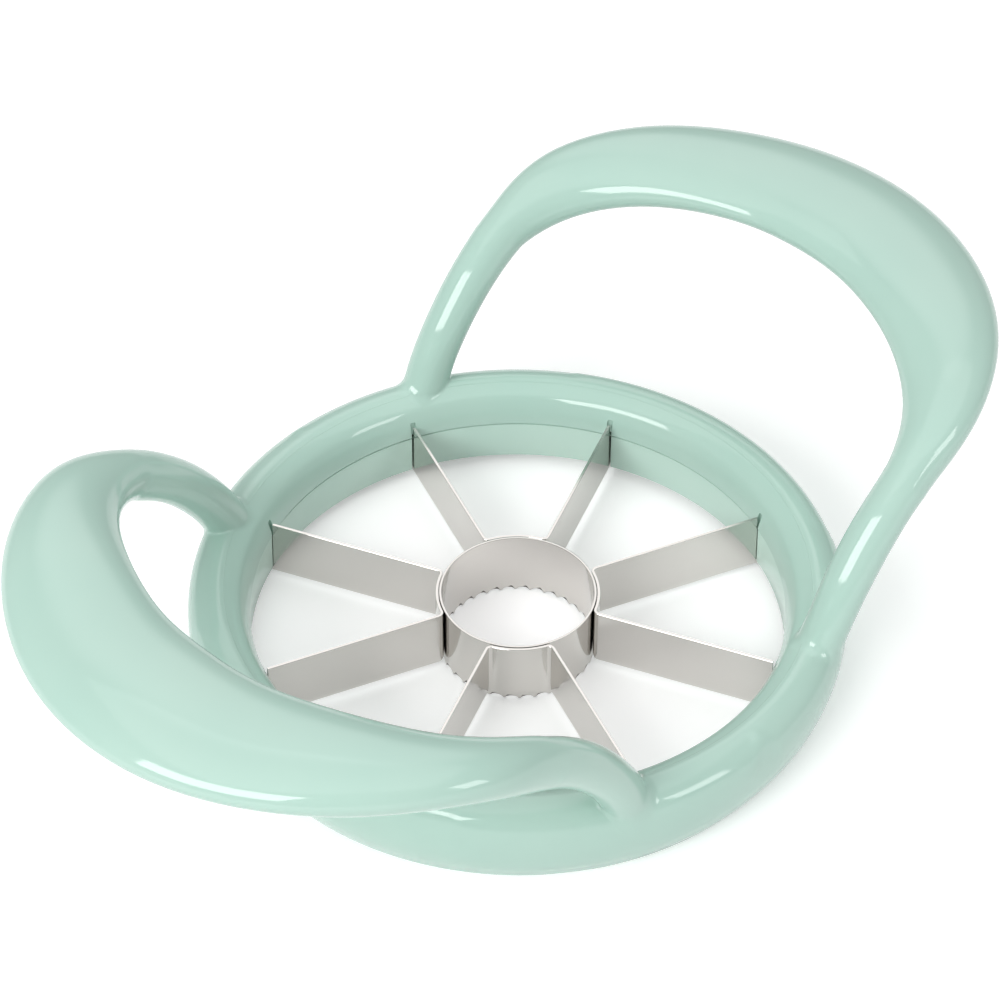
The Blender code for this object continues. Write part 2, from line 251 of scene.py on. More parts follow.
# The ring is spun for a quarter turn, with two spans of it left open where a handle's foot stands
SECTION_STEPS = (0, 1, 2, 3, 4, 5, 6, 7.3, 8.15, 9)   # the cage's lines, in steps along the section
SHARP_LINES = (0, 9, 10, 11)
FOOT_LINES = (4, 7)
SPANS_TO_FOOT = 6
SPANS_AT_FOOT = 2
SPANS_PAST_FOOT = 3
near_turn = FOOT_TURN - FOOT_HALF_TURN
far_turn = FOOT_TURN + FOOT_HALF_TURN
turned_section = SmoothRows(ring_section()[:-2])
section = [tuple(turned_section.at(step)) for step in SECTION_STEPS] + ring_section()[-2:]
spins = (
    (SPANS_TO_FOOT, near_turn),
    (SPANS_AT_FOOT, 2 * FOOT_HALF_TURN),
    (SPANS_PAST_FOOT, pi / 2 - far_turn),
)
slicer_frame = start_outline("slicer_frame", section)
for steps, turn in spins:
    bpy.ops.mesh.spin(steps=steps, angle=-turn, center=(0, 0, 0), axis=(0, 0, 1))


def on_foot_patch(face):
    """True for the faces that a handle's foot grows from."""
    middle = face.calc_center_median()
    low = section[FOOT_LINES[0]]
    high = section[FOOT_LINES[1]]
    over = middle.xy.length > low[0] and middle.z > high[1]
    turn = abs(middle.xy.angle_signed(Vector((1.0, 0.0))))
    return over and abs(turn - FOOT_TURN) < FOOT_HALF_TURN


select_where(slicer_frame, "faces", on_foot_patch)
bpy.ops.mesh.delete(type="FACE")


# The true surfaces of the ring and the limbs, as distances from them. The limb's side that faces the
# bore draws back a little near the ring, and the fillet between the two changes round the limb.
BORE_TUCK = 0.0005
BORE_TUCK_REACH = 0.0026
BORE_TUCK_HEIGHTS = (0.0170, 0.0280)   # whole below the first, none above the second
FILLET_INSIDE_LOOP = 0.0005
FILLET_OUTSIDE_LOOP = 0.0016
FILLET_TO_BORE = -0.0005
RING_SAMPLES = 136
LIMB_START = 4.0
LIMB_SAMPLES = 81
FOOT_SAMPLE = 60   # where the limb passes the ring's crest
handle_rows = [tuple(centre) + tuple(wide) + tuple(thick) for centre, wide, thick in handle_sections()]
handle_sweep = SmoothRows(handle_rows)
ring_curve = turned_section.at(np.linspace(0, SECTION_STEPS[-1], RING_SAMPLES))
limb_steps = np.linspace(LIMB_START, LAST_ROW, LIMB_SAMPLES)
limb_rows = handle_sweep.at(limb_steps)
foot_middle = limb_rows[FOOT_SAMPLE, :3]


def length_across(rows):
    """The length of each row in plan, seen from above."""
    return np.hypot(rows[:, 0], rows[:, 1])


def ring_distance(points):
    """How far points lie outside the turned surface of the ring."""
    flat = np.column_stack((length_across(points), points[:, 2]))
    start = ring_curve[:-1]
    run = np.diff(ring_curve, axis=0)
    offset = flat[:, None] - start
    share = np.clip((offset * run).sum(-1) / (run * run).sum(-1), 0.0, 1.0)
    away = offset - share[..., None] * run
    reach = np.hypot(away[..., 0], away[..., 1])
    nearest = reach.argmin(1)
    pick = np.arange(len(points))
    side = run[nearest, 0] * away[pick, nearest, 1] - run[nearest, 1] * away[pick, nearest, 0]
    return reach[pick, nearest] * np.where(side > 0, 1.0, -1.0)


def ease(values, low, high):
    """Rises softly from 0 to 1 between two values."""
    share = np.clip((values - low) / (high - low), 0.0, 1.0)
    return share * share * (3 - 2 * share)


def bore_tuck(points):
    """How far the limb's side that faces the bore draws back from it, near the ring's crest."""
    nearest = np.abs(points[:, 2:] - limb_rows[:, 2]).argmin(1)
    bore_side = ease(length_across(limb_rows[nearest]) - length_across(points), 0.0, BORE_TUCK_REACH)
    return BORE_TUCK * bore_side * (1 - ease(points[:, 2], *BORE_TUCK_HEIGHTS))


def limb_distance(points):
    """How far points lie outside a handle's limb, and where they are along it."""
    outward = points * (1, 1, 0) / np.maximum(length_across(points), TINY)[:, None]
    points = points - outward * bore_tuck(points)[:, None]
    gap = points[:, None] - limb_rows[:, :3]
    nearest = (gap * gap).sum(-1).argmin(1)
    heading = np.gradient(limb_rows[:, :3], limb_steps, axis=0)[nearest]
    lag = ((points - limb_rows[nearest, :3]) * heading).sum(1) / (heading * heading).sum(1)
    steps = limb_steps[nearest] + lag
    rows = handle_sweep.at(steps)
    offset = points - rows[:, :3]
    wide = rows[:, 3:6]
    thick = rows[:, 6:9]
    u = (offset * wide).sum(1) / (wide * wide).sum(1)
    v = (offset * thick).sum(1) / (thick * thick).sum(1)
    reach = np.linalg.norm(u[:, None] * wide + v[:, None] * thick, axis=1)
    return reach - reach / np.maximum(np.hypot(u, v), TINY), steps


def moulded_distance(points):
    """How far points lie outside the ring and limb as one moulding, with a fillet where they meet."""
    from_ring = ring_distance(points)
    from_limb, steps = limb_distance(points)
    middle = handle_sweep.at(steps)[:, :3]
    middle_across = length_across(middle)[:, None]
    round_ring = np.column_stack((middle[:, 1], -middle[:, 0])) / middle_across
    outward = middle[:, :2] / middle_across
    offset = points[:, :2] - middle[:, :2]
    offset_across = np.maximum(length_across(offset), TINY)
    inside_loop = np.clip(0.5 + (offset * round_ring).sum(1) / offset_across * 0.5, 0.0, 1.0)
    to_bore = np.clip(-(offset * outward).sum(1) / offset_across, 0.0, 1.0)
    radius = FILLET_OUTSIDE_LOOP + (FILLET_INSIDE_LOOP - FILLET_OUTSIDE_LOOP) * inside_loop
    radius = radius + FILLET_TO_BORE * to_bore ** 2
    hollow = np.hypot(np.maximum(radius - from_ring, 0.0), np.maximum(radius - from_limb, 0.0))
    return np.maximum(radius, np.minimum(from_ring, from_limb)) - hollow


# Each handle's cage is extruded from the open foot, loop by loop, as far as the grip's middle
TUBE_SIDES = 10
CAGE_TUCK_REACH = 0.004
COLLAR_HEIGHT = 0.0016
COLLAR_START = 6.0
COLLAR_SAMPLES = 301
RIM_SLACK = 0.001   # radians
FRAME_LEVELS = 3


def on_foot_rim(edge):
    """True for the open edges round the hole that the foot patch left."""
    turns = [abs(point.co.xy.angle_signed(Vector((1.0, 0.0)))) for point in edge.verts]
    return edge.is_boundary and all(near_turn - RIM_SLACK < turn < far_turn + RIM_SLACK for turn in turns)


def loop_in_order(bm):
    """The selected loop's points, in their order round it."""
    points = [next(point for point in bm.verts if point.select)]
    while True:
        ahead = [edge.other_vert(points[-1]) for edge in points[-1].link_edges if edge.select]
        ahead = [point for point in ahead if point not in points]
        if not ahead:
            return points
        points.append(ahead[0])


def nearest_order(corners, previous):
    """Renumbers a loop of corners, either way round, so that it lies nearest the loop before it."""
    orders = []
    for way in (corners, corners[::-1]):
        for shift in range(len(corners)):
            orders.append(way[shift:] + way[:shift])
    return min(orders, key=lambda order: sum((a - b).length for a, b in zip(order, previous)))


def handle_corner(step, side):
    """A corner of the handle's cage, at a step along it and a side round it."""
    row = handle_sweep.at(step)
    angle = tau * side / TUBE_SIDES
    corner = Vector(row[:3] + row[3:6] * cos(angle) + row[6:9] * sin(angle))
    bore_side = ease(Vector(row[:2]).length - corner.xy.length, 0.0, CAGE_TUCK_REACH)
    drawn_back = BORE_TUCK * bore_side * (1 - ease(corner.z, *BORE_TUCK_HEIGHTS))
    return corner + Vector((corner.x, corner.y, 0.0)).normalized() * float(drawn_back)


def collar_corner(side):
    """The place on a limb that lies just above its fillet with the ring."""
    steps = np.linspace(COLLAR_START, LAST_ROW, COLLAR_SAMPLES)
    corners = np.array([handle_corner(step, side) for step in steps])
    low = np.argmax(ring_distance(corners) < COLLAR_HEIGHT)
    return Vector(corners[low])


cage_loops = [[collar_corner(side) for side in range(TUBE_SIDES)]]
for step in reversed(range(LAST_ROW - 1)):
    cage_loops.append([handle_corner(step, side) for side in range(TUBE_SIDES)])
select_where(slicer_frame, "edges", on_foot_rim)
for corners in cage_loops:
    bpy.ops.mesh.extrude_edges_move()
    bm = bmesh.from_edit_mesh(slicer_frame.data)
    loop = loop_in_order(bm)
    for point, corner in zip(loop, nearest_order(corners, [point.co.copy() for point in loop])):
        point.co = corner
    bmesh.update_edit_mesh(slicer_frame.data)
bpy.ops.object.mode_set(mode="OBJECT")
finish_modifier(slicer_frame, "MIRROR", use_axis=(True, True, False), merge_threshold=MERGE, use_clip=False)
bpy.ops.object.mode_set(mode="EDIT")
bpy.ops.mesh.select_all(action="SELECT")
bpy.ops.mesh.remove_doubles(threshold=MERGE)
bpy.ops.mesh.normals_make_consistent(inside=False)


def on_sharp_line(edge):
    """True for the ring's sharp corners, as they run round the ring."""
    for line in SHARP_LINES:
        radius, height = section[line]
        off = [max(abs(end.co.xy.length - radius), abs(end.co.z - height)) for end in edge.verts]
        if max(off) < MERGE:
            return True
    return False


def limit_place(point, crease):
    """Where a corner of the cage ends up on the smoothed surface, by Catmull and Clark's weights."""
    creased = [edge for edge in point.link_edges if edge[crease] > 0.5]
    if len(creased) == 2:
        return (sum((edge.other_vert(point).co for edge in creased), Vector()) + point.co * 4) / 6
    count = len(point.link_edges)
    near = sum((edge.other_vert(point).co for edge in point.link_edges), Vector())
    far = sum((loop.link_loop_next.link_loop_next.vert.co for loop in point.link_loops), Vector())
    return (point.co * count * count + near * 4 + far) / (count * (count + 5))


# The cage is pulled outwards until the smoothed surface runs through the corners as they were drawn
bm = bmesh.from_edit_mesh(slicer_frame.data)
crease = bm.edges.layers.float.new("crease_edge")
for edge in bm.edges:
    edge[crease] = 1.0 if on_sharp_line(edge) else 0.0
wanted_places = [point.co.copy() for point in bm.verts]
for _ in range(SETTLE_ROUNDS):
    reached = [limit_place(point, crease) for point in bm.verts]
    for point, wanted, place in zip(bm.verts, wanted_places, reached):
        point.co += wanted - place
bmesh.update_edit_mesh(slicer_frame.data)
bpy.ops.object.mode_set(mode="OBJECT")
finish_modifier(slicer_frame, "SUBSURF", levels=FRAME_LEVELS, render_levels=FRAME_LEVELS,
                use_limit_surface=True)

# The faces round each foot are split once more, where the ring and the limb meet
FINER_REACH = 0.014
FINER_BAND = 0.0022
middles = np.array([face.center for face in slicer_frame.data.polygons])
folded = np.abs(middles) * (1, 1, 0) + middles * (0, 0, 1)
near_foot = np.flatnonzero(np.linalg.norm(folded - foot_middle, axis=1) < FINER_REACH)
from_limb = limb_distance(folded[near_foot])[0]
from_ring = ring_distance(folded[near_foot])
close = (np.abs(from_limb) < FINER_BAND) & (np.abs(from_ring) < FINER_BAND)
finer = set(near_foot[close].tolist())
bpy.ops.object.mode_set(mode="EDIT")
select_where(slicer_frame, "faces", lambda face: face.index in finer)
bpy.ops.mesh.subdivide(number_cuts=1)
bpy.ops.object.mode_set(mode="OBJECT")

# The feet are drawn on to the ring's and the limbs' true surfaces, with a fillet between them. How
# strongly a point is drawn fades out up the limb, away over the ring and towards its sharp edges.
FOOT_REACH = 0.026
LIMB_FADE_STEPS = (5.8, 6.7)
RING_FADE = (0.0030, 0.0055)
SURFACE_BAND = 0.0025
INNER_SIDE_RADIUS = 0.0505
INNER_FADE_HEIGHTS = (0.0108, 0.0130)
OUTER_FADE_HEIGHTS = (0.0015, 0.0035)
LEAST_WEIGHT = 0.001
RELAX_ROUNDS = 6
RELAX_SHARE = 0.5
PROJECT_ROUNDS = 3
PROBE = 0.00001
LEAST_SLOPE = 0.05
SAME_DECIMALS = 8
EDGE_BEVEL = 0.00012
FRAME_BEVEL_ANGLE = radians(62)


def moulded_slope(points):
    """How the distance from the moulding grows along each axis."""
    gains = []
    for axis in np.eye(3):
        ahead = moulded_distance(points + PROBE * axis)
        behind = moulded_distance(points - PROBE * axis)
        gains.append((ahead - behind) / (2 * PROBE))
    return np.column_stack(gains)


count = len(slicer_frame.data.vertices)
places = np.empty(count * 3)
slicer_frame.data.vertices.foreach_get("co", places)
places = places.reshape(-1, 3)
ends = np.empty(len(slicer_frame.data.edges) * 2, int)
slicer_frame.data.edges.foreach_get("vertices", ends)
ends = ends.reshape(-1, 2)
neighbours = np.bincount(ends.ravel(), minlength=count)[:, None]
signs = np.where(places < 0, -1.0, 1.0) * (1, 1, 0) + (0, 0, 1)
folded = places * signs
near_foot = np.flatnonzero(np.linalg.norm(folded - foot_middle, axis=1) < FOOT_REACH)
from_limb, steps = limb_distance(folded[near_foot])
from_ring = ring_distance(folded[near_foot])
height = folded[near_foot, 2]
on_limb = ease(steps, *LIMB_FADE_STEPS)
on_ring = 1 - ease(from_limb, *RING_FADE)
outside = np.abs(np.minimum(from_limb, from_ring)) < SURFACE_BAND
inner_side = length_across(folded[near_foot]) < INNER_SIDE_RADIUS
clear_of_edges = np.where(inner_side, ease(height, *INNER_FADE_HEIGHTS), ease(height, *OUTER_FADE_HEIGHTS))
weight = np.zeros(count)
weight[near_foot] = np.maximum(on_limb, on_ring) * outside * clear_of_edges
moving = np.flatnonzero(weight > LEAST_WEIGHT)
for round_number in range(RELAX_ROUNDS):
    if round_number < RELAX_ROUNDS - 1:
        totals = np.zeros_like(places)
        np.add.at(totals, ends[:, 0], places[ends[:, 1]])
        np.add.at(totals, ends[:, 1], places[ends[:, 0]])
        easing = weight[moving, None] * RELAX_SHARE
        places[moving] += (totals[moving] / neighbours[moving] - places[moving]) * easing
    # The four feet are alike, so each point is worked out once, for all four
    rows = np.column_stack((places[moving] * signs[moving], weight[moving]))
    quarter, copies = np.unique(np.round(rows, SAME_DECIMALS), axis=0, return_inverse=True)
    spots = quarter[:, :3]
    pull = quarter[:, 3:]
    for _ in range(PROJECT_ROUNDS):
        depth = moulded_distance(spots)[:, None]
        slope = moulded_slope(spots)
        spots -= pull * depth * slope / np.maximum((slope * slope).sum(1), LEAST_SLOPE)[:, None]
    places[moving] = spots[copies.ravel()] * signs[moving]
slicer_frame.data.vertices.foreach_set("co", places.ravel())
slicer_frame.data.update()
break_edges(slicer_frame, EDGE_BEVEL, FRAME_BEVEL_ANGLE)

# Blade notches and the sockets for the insert's pegs, in the ledge
BLADE_COUNT = 8
BLADE_TOP = 0.01225
RECESS_RADIUS = 0.0459
RECESS_WIDTH = 0.0010
RECESS_TOP = 0.0130
RECESS_ROUNDING = 0.00045
ROUNDING_STEPS = 4
CUTTER_BOTTOM = 0.0052
CUTTER_INNER_RADIUS = 0.041
PEG_RADIUS = 0.0009
PEG_TOP = 0.0114
PEG_CIRCLE = 0.0478
PEG_SIDES = 24
SOCKET_GAP = 0.0002
SOCKET_TURN = radians(4)   # turns the socket's flats off the lines of the ring's mesh
SLIVER = 0.000002
SMOOTH_ANGLE = radians(35)


def start_block(name, size, middle):
    """A block in edit mode, at its size and place."""
    block = start_object(name, bpy.ops.mesh.primitive_cube_add, size=1.0)
    bpy.ops.object.mode_set(mode="EDIT")
    bpy.ops.transform.resize(value=size, center_override=(0, 0, 0))
    bpy.ops.transform.translate(value=middle)
    return block


def turn_about_axis(angle):
    """Turns what is selected anticlockwise round the slicer's axis. Without a window the operator
    turns the other way, so it is given the angle with its sign changed."""
    bpy.ops.transform.rotate(value=-angle, orient_axis="Z", center_override=(0, 0, 0))


def repeat_round():
    """Copies what is in edit mode round the axis, once for each blade, and makes it face outwards."""
    bpy.ops.mesh.select_all(action="SELECT")
    bpy.ops.mesh.spin(steps=BLADE_COUNT - 1, angle=tau - tau / BLADE_COUNT, center=(0, 0, 0),
                      axis=(0, 0, 1), dupli=True)
    bpy.ops.mesh.select_all(action="SELECT")
    bpy.ops.mesh.normals_make_consistent(inside=False)
    bpy.ops.object.mode_set(mode="OBJECT")


def boolean(piece, operation, other):
    """Cuts another object from a piece or joins it, and welds the slivers that this leaves."""
    finish_modifier(piece, "BOOLEAN", operation=operation, solver="EXACT", object=other)
    bpy.data.objects.remove(other, do_unlink=True)
    bpy.ops.object.mode_set(mode="EDIT")
    bpy.ops.mesh.select_all(action="SELECT")
    bpy.ops.mesh.remove_doubles(threshold=SLIVER)
    bpy.ops.object.mode_set(mode="OBJECT")


def along_recess_top(edge):
    """True for the recess's upper edges that run out from the bore."""
    above_blade = all(point.co.z > BLADE_TOP for point in edge.verts)
    return above_blade and abs(edge.verts[0].co.x - edge.verts[1].co.x) > MERGE


recess_size = (RECESS_RADIUS - CUTTER_INNER_RADIUS, RECESS_WIDTH, RECESS_TOP - CUTTER_BOTTOM)
recess_middle = ((RECESS_RADIUS + CUTTER_INNER_RADIUS) / 2, 0.0, (RECESS_TOP + CUTTER_BOTTOM) / 2)
recesses = start_block("recess_cutter", recess_size, recess_middle)
select_where(recesses, "edges", along_recess_top)
bpy.ops.mesh.bevel(offset=RECESS_ROUNDING, segments=ROUNDING_STEPS, affect="EDGES")
bpy.ops.mesh.select_all(action="SELECT")
turn_about_axis(pi / BLADE_COUNT)
repeat_round()
boolean(slicer_frame, "DIFFERENCE", recesses)

socket_top = PEG_TOP + SOCKET_GAP
sockets = start_object("socket_cutter", bpy.ops.mesh.primitive_cylinder_add, vertices=PEG_SIDES,
                       radius=PEG_RADIUS + SOCKET_GAP, depth=socket_top - CUTTER_BOTTOM)
bpy.ops.object.mode_set(mode="EDIT")
turn_about_axis(-SOCKET_TURN)
bpy.ops.transform.translate(value=(PEG_CIRCLE, 0.0, (socket_top + CUTTER_BOTTOM) / 2))
repeat_round()
boolean(slicer_frame, "DIFFERENCE", sockets)
smooth_by_angle(slicer_frame, SMOOTH_ANGLE)


def srgb(code):
    """A hex colour as linear red, green, blue and alpha."""
    shares = [int(code[start:start + 2], 16) / 255 for start in (1, 3, 5)]
    return tuple(s / 12.92 if s <= 0.04045 else ((s + 0.055) / 1.055) ** 2.4 for s in shares) + (1.0,)


def add_node(material, kind, inputs=None, **settings):
    """Adds a node to a material, sets its settings, and fills or links its inputs."""
    node = material.node_tree.nodes.new(kind)
    for name, value in settings.items():
        setattr(node, name, value)
    for name, value in (inputs or {}).items():
        if isinstance(value, bpy.types.NodeSocket):
            material.node_tree.links.new(value, node.inputs[name])
        else:
            node.inputs[name].default_value = value
    return node


def new_material(name):
    """An empty node material, and its object coordinates."""
    material = bpy.data.materials.new(name)
    material.use_nodes = True
    material.node_tree.nodes.clear()
    return material, add_node(material, "ShaderNodeTexCoord").outputs["Object"]


# Glossy ABS, injection moulded in a polished steel mould. It gives bright, sharp highlights, a faint
# waviness in them, hardly any change of colour, and a fine raised line where the mould's parts met.
ABS_IOR = 1.54
ABS_ROUGHNESS = 0.07
ABS_CLOUDS_PER_METRE = 45.0    # clouds of pigment, 22 mm across
ABS_CLOUD_DETAIL = 2.0
CLOUD_RANGE = (0.3, 0.7)
ABS_WAVES_PER_METRE = 120.0    # waves that shrinkage leaves, 8 mm across
ABS_WAVE_DETAIL = 1.0
ABS_WAVE_STRENGTH = 0.02
ABS_WAVE_HEIGHT = 0.0002
PARTING_RADIUS = 0.0492
PARTING_WIDTH = 0.0001
PARTING_HEIGHT = 0.00004
PARTING_LOWEST = 0.0150
PARTING_HIGHEST = 0.0166
moulded_abs, place = new_material("moulded_mint_abs")
cloud = add_node(moulded_abs, "ShaderNodeTexNoise",
                 {"Vector": place, "Scale": ABS_CLOUDS_PER_METRE, "Detail": ABS_CLOUD_DETAIL})
ramp = add_node(moulded_abs, "ShaderNodeValToRGB", {"Fac": cloud.outputs[0]})
ramp.color_ramp.elements[0].position = CLOUD_RANGE[0]
ramp.color_ramp.elements[1].position = CLOUD_RANGE[1]
ramp.color_ramp.elements[0].color = srgb("#B0D0C4")
ramp.color_ramp.elements[1].color = srgb("#B4D2C6")
waves = add_node(moulded_abs, "ShaderNodeTexNoise",
                 {"Vector": place, "Scale": ABS_WAVES_PER_METRE, "Detail": ABS_WAVE_DETAIL})
wavy = add_node(moulded_abs, "ShaderNodeBump",
                {"Height": waves.outputs[0], "Strength": ABS_WAVE_STRENGTH, "Distance": ABS_WAVE_HEIGHT})
axes = add_node(moulded_abs, "ShaderNodeSeparateXYZ", {0: place})
flat = add_node(moulded_abs, "ShaderNodeCombineXYZ", {"X": axes.outputs["X"], "Y": axes.outputs["Y"]})
radius = add_node(moulded_abs, "ShaderNodeVectorMath", {0: flat.outputs[0]}, operation="LENGTH")
off_line = add_node(moulded_abs, "ShaderNodeMath",
                    {0: radius.outputs["Value"], 1: PARTING_RADIUS}, operation="SUBTRACT")
away = add_node(moulded_abs, "ShaderNodeMath", {0: off_line.outputs[0]}, operation="ABSOLUTE")
ridge = add_node(moulded_abs, "ShaderNodeMapRange",
                 {"Value": away.outputs[0], "From Min": PARTING_WIDTH, "From Max": 0.0,
                  "To Min": 0.0, "To Max": 1.0})
low = add_node(moulded_abs, "ShaderNodeMath",
               {0: axes.outputs["Z"], 1: PARTING_HIGHEST}, operation="LESS_THAN")
high = add_node(moulded_abs, "ShaderNodeMath",
                {0: axes.outputs["Z"], 1: PARTING_LOWEST}, operation="GREATER_THAN")
band = add_node(moulded_abs, "ShaderNodeMath", {0: low.outputs[0], 1: high.outputs[0]}, operation="MULTIPLY")
raised = add_node(moulded_abs, "ShaderNodeMath",
                  {0: ridge.outputs[0], 1: band.outputs[0]}, operation="MULTIPLY")
line = add_node(moulded_abs, "ShaderNodeBump",
                {"Height": raised.outputs[0], "Strength": 1.0, "Distance": PARTING_HEIGHT,
                 "Normal": wavy.outputs[0]})
shader = add_node(moulded_abs, "ShaderNodeBsdfPrincipled",
                  {"Base Color": ramp.outputs[0], "Roughness": ABS_ROUGHNESS, "IOR": ABS_IOR,
                   "Normal": line.outputs[0]})
add_node(moulded_abs, "ShaderNodeOutputMaterial", {"Surface": shader.outputs[0]})
slicer_frame.data.materials.append(moulded_abs)
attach(slicer_frame, "root")
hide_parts("frame")


# Insert ring
# A second moulding in the same ABS, hollow from below, pressed up into the frame's rebate on eight
# small pegs. Its upper edge is the fine seam round the inner wall, and its slots hold the blades' ends.
INSERT_TOP = 0.0096
INSERT_BOTTOM = 0.0022
INSERT_TOP_BORE = 0.04515
INSERT_LOW_BORE = 0.0453
INSERT_WALL = 0.0012
INSERT_WALL_DRAFT = 0.0001
INSERT_WEB = 0.0016
INSERT_GAP = 0.0002
INSERT_RADIUS = REBATE_RADIUS - INSERT_GAP
INSERT_BEVEL = 0.00007
INSERT_BEVEL_ANGLE = radians(40)
TURN_STEPS = 192
STRIP_THICKNESS = 0.0005
BLADE_END_RADIUS = 0.0487
SLOT_SIDE_GAP = 0.0002
SLOT_END_GAP = 0.0003
SLOT_CUTTER_LENGTH = 0.008
SLOT_CUTTER_HEIGHT = 0.02

insert_section = [
    (INSERT_LOW_BORE, INSERT_BOTTOM),
    (INSERT_LOW_BORE + INSERT_WALL, INSERT_BOTTOM),
    (INSERT_TOP_BORE + INSERT_WALL_DRAFT + INSERT_WALL, INSERT_TOP - INSERT_WEB),
    (INSERT_RADIUS - INSERT_WALL, INSERT_TOP - INSERT_WEB),
    (INSERT_RADIUS - INSERT_WALL, INSERT_BOTTOM),
    (INSERT_RADIUS, INSERT_BOTTOM),
    (INSERT_RADIUS, INSERT_TOP),
    (INSERT_TOP_BORE, INSERT_TOP),
]
blade_insert = start_outline("blade_insert", insert_section)
bpy.ops.mesh.spin(steps=TURN_STEPS, angle=tau, center=(0, 0, 0), axis=(0, 0, 1))
bpy.ops.mesh.select_all(action="SELECT")
bpy.ops.mesh.remove_doubles(threshold=MERGE)
bpy.ops.mesh.normals_make_consistent(inside=False)
bpy.ops.object.mode_set(mode="OBJECT")
break_edges(blade_insert, INSERT_BEVEL, INSERT_BEVEL_ANGLE)

pegs = start_object("insert_pegs", bpy.ops.mesh.primitive_cylinder_add, vertices=PEG_SIDES,
                    radius=PEG_RADIUS, depth=PEG_TOP - INSERT_TOP + INSERT_WEB / 2, location=(0, 0, 0))
bpy.ops.object.mode_set(mode="EDIT")
bpy.ops.transform.translate(value=(PEG_CIRCLE, 0.0, (PEG_TOP + INSERT_TOP - INSERT_WEB / 2) / 2))
repeat_round()
boolean(blade_insert, "UNION", pegs)

slot_size = (SLOT_CUTTER_LENGTH, STRIP_THICKNESS + 2 * SLOT_SIDE_GAP, SLOT_CUTTER_HEIGHT)
slot_middle = (BLADE_END_RADIUS + SLOT_END_GAP - SLOT_CUTTER_LENGTH / 2, 0.0, 0.0)
slots = start_block("slot_cutter", slot_size, slot_middle)
turn_about_axis(pi / BLADE_COUNT)
repeat_round()
boolean(blade_insert, "DIFFERENCE", slots)
smooth_by_angle(blade_insert, SMOOTH_ANGLE)

# The same ABS from a duller mould, with softer highlights. Its colour is painted a shade lighter: painted
# light on the insert's wall
DULL_ABS_ROUGHNESS = 0.16
DULL_ABS_CLOUDS_PER_METRE = 60.0   # 17 mm across
dull_abs_painted_light, place = new_material("moulded_mint_abs_dull_painted_light")
cloud = add_node(dull_abs_painted_light, "ShaderNodeTexNoise",
                 {"Vector": place, "Scale": DULL_ABS_CLOUDS_PER_METRE, "Detail": ABS_CLOUD_DETAIL})
ramp = add_node(dull_abs_painted_light, "ShaderNodeValToRGB", {"Fac": cloud.outputs[0]})
ramp.color_ramp.elements[0].position = CLOUD_RANGE[0]
ramp.color_ramp.elements[1].position = CLOUD_RANGE[1]
# These colours are a shade lighter than the frame's, which is painted light
ramp.color_ramp.elements[0].color = srgb("#BFDDD1")
ramp.color_ramp.elements[1].color = srgb("#C3DFD3")
shader = add_node(dull_abs_painted_light, "ShaderNodeBsdfPrincipled",
                  {"Base Color": ramp.outputs[0], "Roughness": DULL_ABS_ROUGHNESS, "IOR": ABS_IOR})
add_node(dull_abs_painted_light, "ShaderNodeOutputMaterial", {"Surface": shader.outputs[0]})
blade_insert.data.materials.append(dull_abs_painted_light)
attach(blade_insert, "root")
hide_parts("retaining_ring")


# Blade strips
# Four stainless steel strips, each folded into two blades with a curved part between them that is
# spot welded to the corer. The strip is blanked and ground, so its upper edge is bright.
STRIP_COUNT = 4
BLADE_BOTTOM = 0.0014
BEND_RADIUS = 0.0009
BLADE_SHOULDER_RADIUS = 0.0450
BLADE_SHOULDER_TOP = 0.0096
CORE_RADIUS = 0.01325
WELD_GAP = 0.00012
GRIND_HEIGHT = 0.0008
GRIND_EDGE = 0.00012
EDGE_BREAK = 0.00004
FOLD_STEPS = 8
WRAP_STEPS = 16
CORNER_CUTTER = (0.010, 0.002, 0.004)
STRIP_SMOOTH_ANGLE = radians(12)
around = CORE_RADIUS + WELD_GAP + STRIP_THICKNESS / 2
fold_reach = around + BEND_RADIUS
swing = asin(BEND_RADIUS / fold_reach)
first = pi / BLADE_COUNT
second = 3 * pi / BLADE_COUNT
half = STRIP_THICKNESS / 2
strip_section = [
    (-GRIND_EDGE / 2, BLADE_BOTTOM),
    (GRIND_EDGE / 2, BLADE_BOTTOM),
    (half, BLADE_BOTTOM + GRIND_HEIGHT),
    (half, BLADE_TOP - EDGE_BREAK),
    (half - EDGE_BREAK, BLADE_TOP),
    (EDGE_BREAK - half, BLADE_TOP),
    (-half, BLADE_TOP - EDGE_BREAK),
    (-half, BLADE_BOTTOM + GRIND_HEIGHT),
]


def polar(radius, angle):
    """A place in plan, at a radius and an angle from +X."""
    return Vector((radius * cos(angle), radius * sin(angle), 0.0))


strip = start_object("strip_back", bpy.ops.mesh.primitive_circle_add, vertices=len(strip_section),
                     fill_type="NGON")
outward = polar(1.0, first)
sideways = polar(1.0, first + pi / 2)
for point, (across, height) in zip(strip.data.vertices, strip_section):
    point.co = outward * BLADE_END_RADIUS + sideways * across + Vector((0.0, 0.0, height))
fold_in = polar(fold_reach, first + swing)
fold_out = polar(fold_reach, second - swing)
fold_turn = pi / 2 - swing
wrap_turn = second - first - 2 * swing
straight = BLADE_END_RADIUS - fold_in.dot(outward)
bpy.ops.object.mode_set(mode="EDIT")
bpy.ops.mesh.select_all(action="SELECT")
bpy.ops.mesh.extrude_region_move(TRANSFORM_OT_translate={"value": -outward * straight})
bpy.ops.mesh.spin(steps=FOLD_STEPS, angle=fold_turn, center=fold_in, axis=(0, 0, 1))
bpy.ops.mesh.spin(steps=WRAP_STEPS, angle=-wrap_turn, center=(0, 0, 0), axis=(0, 0, 1))
bpy.ops.mesh.spin(steps=FOLD_STEPS, angle=fold_turn, center=fold_out, axis=(0, 0, 1))
bpy.ops.mesh.extrude_region_move(TRANSFORM_OT_translate={"value": polar(straight, second)})
bpy.ops.mesh.select_all(action="SELECT")
